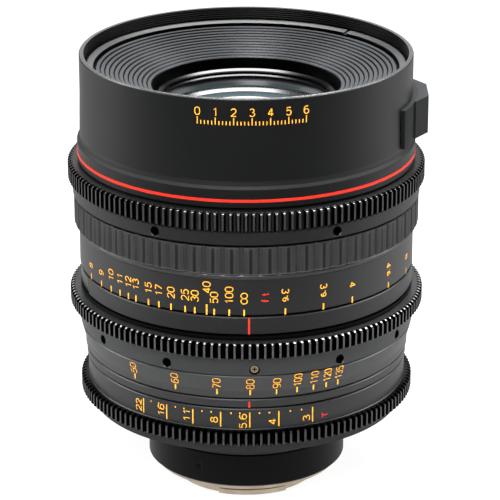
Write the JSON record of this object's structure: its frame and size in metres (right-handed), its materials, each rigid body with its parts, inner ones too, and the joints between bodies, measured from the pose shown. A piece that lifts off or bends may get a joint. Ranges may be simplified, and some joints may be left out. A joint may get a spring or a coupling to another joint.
{
  "type": "cinema zoom lens",
  "caption": "Black cinema zoom lens with geared focus, zoom and iris rings, a ribbed rubber grip, a red band, a wide front barrel with a small side foot and a metal bayonet.",
  "frame": {"origin": "on the optical axis, in the plane of the bayonet flange", "axes": "+Z along the optical axis towards the front glass, -Y towards the operator and the index marks"},
  "size_m": [0.1237, 0.1232, 0.1546],
  "materials": {
    "barrel_black": "satin black anodised aluminium",
    "ring_black": "satin black anodised aluminium",
    "gear_black": "black anodised aluminium",
    "inner_black": "matt black anodised aluminium",
    "red_band": "satin red",
    "grip_rubber": "moulded rubber",
    "tube_metal": "turned aluminium",
    "brass": "turned brass",
    "mount_metal": "satin chrome plated",
    "screw_metal": "plain steel",
    "screw_black": "blackened steel",
    "baffle_plastic": "matt black plastic",
    "glass": "coated optical glass"
  },
  "bodies": {
    "barrel": {"front_barrel": "barrel_black", "red_ring": "red_band", "filter_ledge_ring": "inner_black", "front_baffle": "inner_black", "front_cell": "inner_black", "front_element": "glass", "second_element": "glass", "front_retaining_ring": "inner_black", "index_ring": "barrel_black", "spacer_ring": "barrel_black", "guide_tube": "tube_metal", "main_housing": "tube_metal", "iris_index_ring": "barrel_black", "iris_case": "inner_black", "iris_cover": "inner_black", "rear_cover": "barrel_black", "rear_cell": "inner_black", "relay_element": "glass", "rear_element": "glass", "rear_barrel": "barrel_black", "rear_barrel_screws": "screw_black", "bayonet_mount": "mount_metal", "mount_screws": "screw_metal", "rear_baffle": "baffle_plastic", "foot_pad": "barrel_black", "foot_block": "barrel_black", "foot_screws": "screw_black"},
    "focus_ring": {"focus_gear_ring": "gear_black", "focus_ring": "ring_black", "focus_grip": "grip_rubber", "focus_set_screws": "screw_black", "focus_key": "brass", "focus_cam_tube": "tube_metal"},
    "focus_group": {"focus_cell": "inner_black", "focus_element": "glass", "focus_followers": "brass"},
    "zoom_ring": {"zoom_gear_ring": "gear_black", "zoom_scale_ring": "ring_black", "zoom_set_screws": "screw_black", "zoom_key": "brass", "zoom_key_screw": "screw_metal", "zoom_cam_tube": "tube_metal"},
    "variator": {"variator_cell": "inner_black", "variator_front_element": "glass", "variator_rear_element": "glass", "variator_followers": "brass"},
    "compensator": {"compensator_cell": "inner_black", "compensator_element": "glass", "compensator_followers": "brass"},
    "iris_ring": {"iris_ring": "ring_black", "iris_drive_ring": "brass"},
    "blade_1": {"iris_blade_1": "screw_black"},
    "blade_2": {"iris_blade_2": "screw_black"},
    "blade_3": {"iris_blade_3": "screw_black"},
    "blade_4": {"iris_blade_4": "screw_black"},
    "blade_5": {"iris_blade_5": "screw_black"},
    "blade_6": {"iris_blade_6": "screw_black"},
    "blade_7": {"iris_blade_7": "screw_black"},
    "blade_8": {"iris_blade_8": "screw_black"},
    "blade_9": {"iris_blade_9": "screw_black"}
  },
  "joints": [
    {"name": "focus_turn", "type": "hinge", "parent": "barrel", "child": "focus_ring", "pos_m": [0, 0, 0], "axis": [0, 0, 1], "range_deg": [0, 176]},
    {"name": "focus_group_slide", "type": "slide", "parent": "barrel", "child": "focus_group", "axis": [0, 0, 1], "range_m": [0, 0.00799]},
    {"name": "zoom_turn", "type": "hinge", "parent": "barrel", "child": "zoom_ring", "pos_m": [0, 0, 0], "axis": [0, 0, 1], "range_deg": [-31.9, 42.7]},
    {"name": "variator_slide", "type": "slide", "parent": "barrel", "child": "variator", "axis": [0, 0, 1], "range_m": [-0.00891, 0.01193]},
    {"name": "compensator_slide", "type": "slide", "parent": "barrel", "child": "compensator", "axis": [0, 0, 1], "range_m": [-0.00299, 0.00223]},
    {"name": "iris_turn", "type": "hinge", "parent": "barrel", "child": "iris_ring", "pos_m": [0, 0, 0], "axis": [0, 0, 1], "range_deg": [-22.6, 39.8]},
    {"name": "blade_1_swing", "type": "hinge", "parent": "barrel", "child": "blade_1", "pos_m": [0, -0.04, 0.03], "axis": [0, 0, 1], "range_deg": [-8.82, 15.53]},
    {"name": "blade_2_swing", "type": "hinge", "parent": "barrel", "child": "blade_2", "pos_m": [0.02571, -0.03064, 0.03], "axis": [0, 0, 1], "range_deg": [-8.82, 15.53]},
    {"name": "blade_3_swing", "type": "hinge", "parent": "barrel", "child": "blade_3", "pos_m": [0.03939, -0.00695, 0.03], "axis": [0, 0, 1], "range_deg": [-8.82, 15.53]},
    {"name": "blade_4_swing", "type": "hinge", "parent": "barrel", "child": "blade_4", "pos_m": [0.03464, 0.02, 0.03], "axis": [0, 0, 1], "range_deg": [-8.82, 15.53]},
    {"name": "blade_5_swing", "type": "hinge", "parent": "barrel", "child": "blade_5", "pos_m": [0.01368, 0.03759, 0.03], "axis": [0, 0, 1], "range_deg": [-8.82, 15.53]},
    {"name": "blade_6_swing", "type": "hinge", "parent": "barrel", "child": "blade_6", "pos_m": [-0.01368, 0.03759, 0.03], "axis": [0, 0, 1], "range_deg": [-8.82, 15.53]},
    {"name": "blade_7_swing", "type": "hinge", "parent": "barrel", "child": "blade_7", "pos_m": [-0.03464, 0.02, 0.03], "axis": [0, 0, 1], "range_deg": [-8.82, 15.53]},
    {"name": "blade_8_swing", "type": "hinge", "parent": "barrel", "child": "blade_8", "pos_m": [-0.03939, -0.00695, 0.03], "axis": [0, 0, 1], "range_deg": [-8.82, 15.53]},
    {"name": "blade_9_swing", "type": "hinge", "parent": "barrel", "child": "blade_9", "pos_m": [-0.02571, -0.03064, 0.03], "axis": [0, 0, 1], "range_deg": [-8.82, 15.53]}
  ],
  "couplings": [
    {"joint": "focus_group_slide", "follows": "focus_turn", "m_per_rad": 0.0026},
    {"joint": "variator_slide", "follows": "zoom_turn", "m_per_rad": 0.016},
    {"joint": "compensator_slide", "follows": "zoom_turn", "m_per_rad": -0.004},
    {"joint": "blade_1_swing", "follows": "iris_turn", "ratio": 0.39},
    {"joint": "blade_2_swing", "follows": "iris_turn", "ratio": 0.39},
    {"joint": "blade_3_swing", "follows": "iris_turn", "ratio": 0.39},
    {"joint": "blade_4_swing", "follows": "iris_turn", "ratio": 0.39},
    {"joint": "blade_5_swing", "follows": "iris_turn", "ratio": 0.39},
    {"joint": "blade_6_swing", "follows": "iris_turn", "ratio": 0.39},
    {"joint": "blade_7_swing", "follows": "iris_turn", "ratio": 0.39},
    {"joint": "blade_8_swing", "follows": "iris_turn", "ratio": 0.39},
    {"joint": "blade_9_swing", "follows": "iris_turn", "ratio": 0.39}
  ]
}
